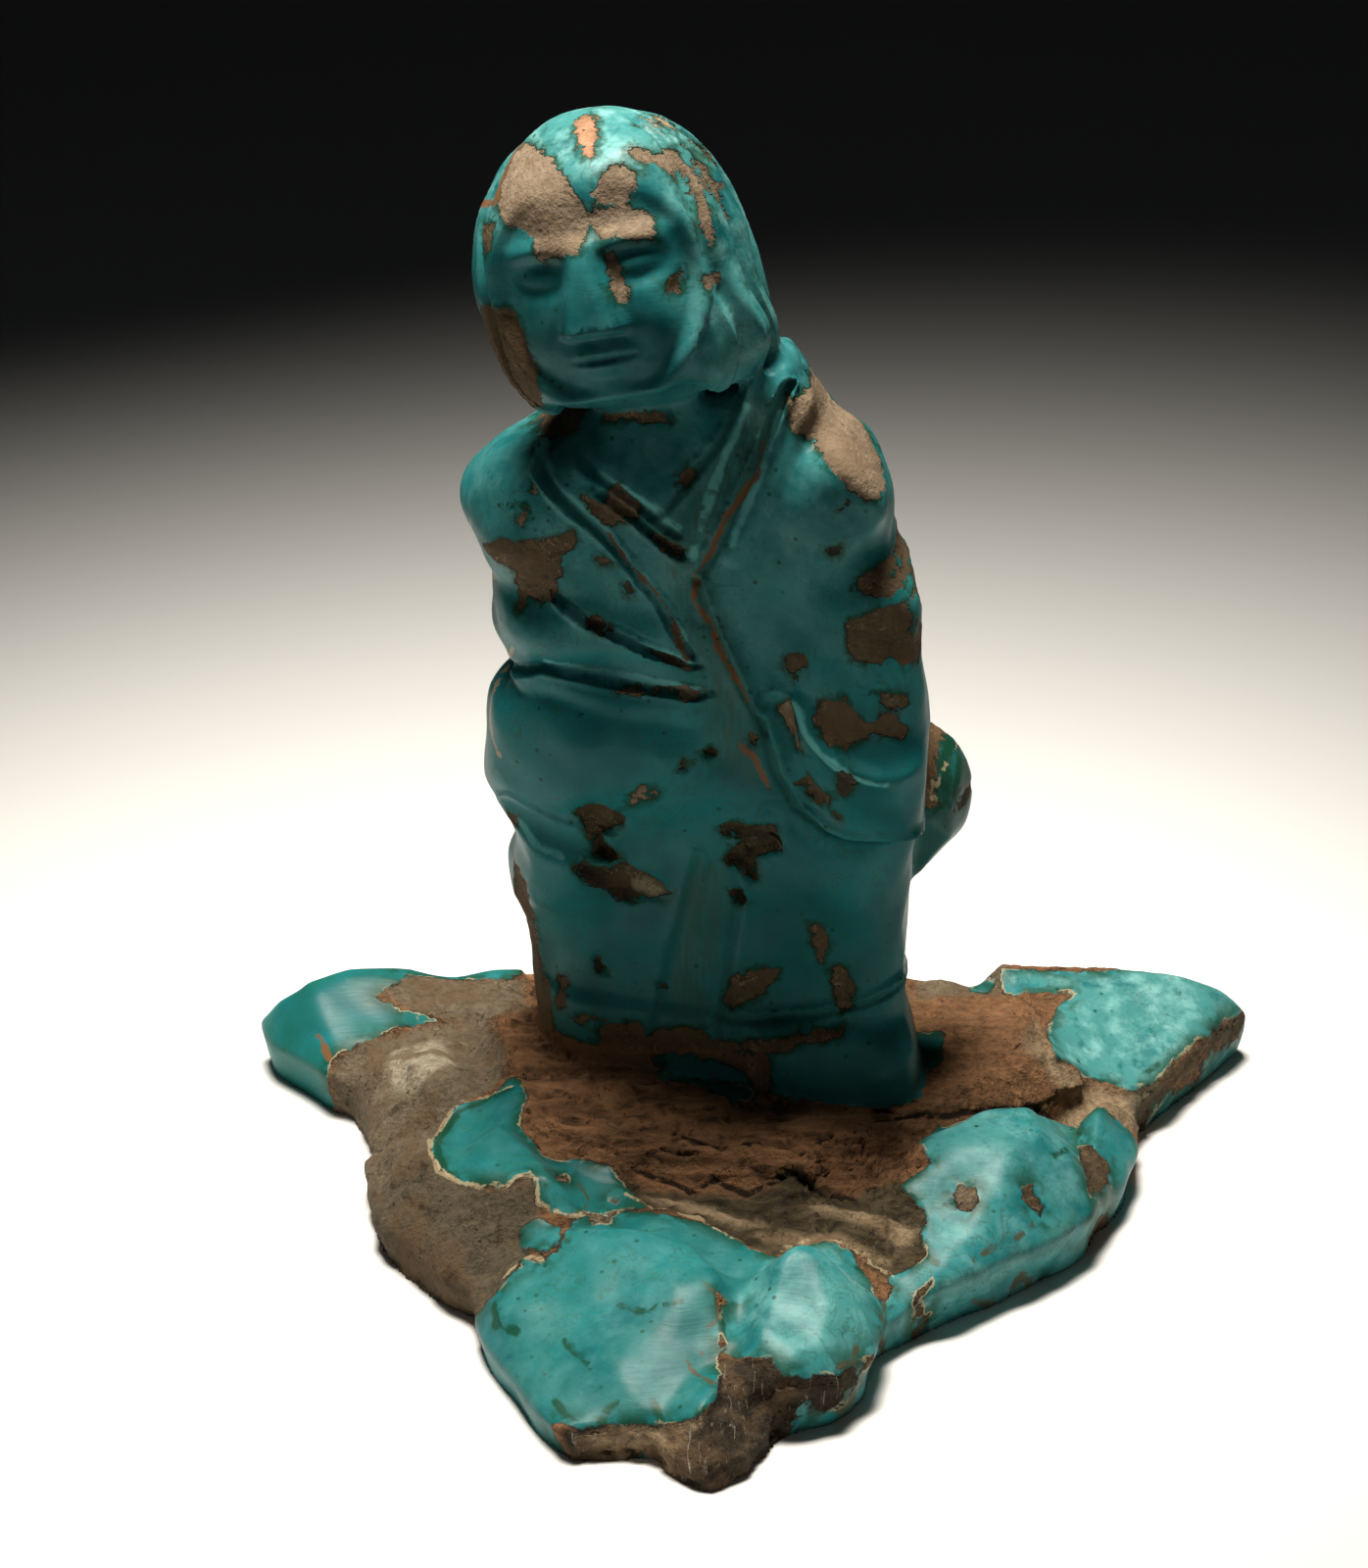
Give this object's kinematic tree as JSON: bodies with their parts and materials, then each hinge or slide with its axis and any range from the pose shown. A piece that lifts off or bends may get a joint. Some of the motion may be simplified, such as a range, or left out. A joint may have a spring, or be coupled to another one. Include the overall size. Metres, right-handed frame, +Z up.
{
  "type": "carved stone figure",
  "caption": "Robed standing figure with long hair, carved from one turquoise nodule on its own rough three-cornered base.",
  "frame": {"origin": "middle of the base's footprint box, on the surface that the figure stands on", "axes": "+Z up through the figure, -Y the carved front, +X the viewer's right"},
  "size_m": [0.0728, 0.055, 0.0779],
  "materials": {
    "turquoise": "polished blue-green turquoise with brown and grey host rock, dark specks and green-brown dirt left in the cuts"
  },
  "bodies": {
    "root": {"turquoise_figure": "turquoise"}
  },
  "joints": []
}
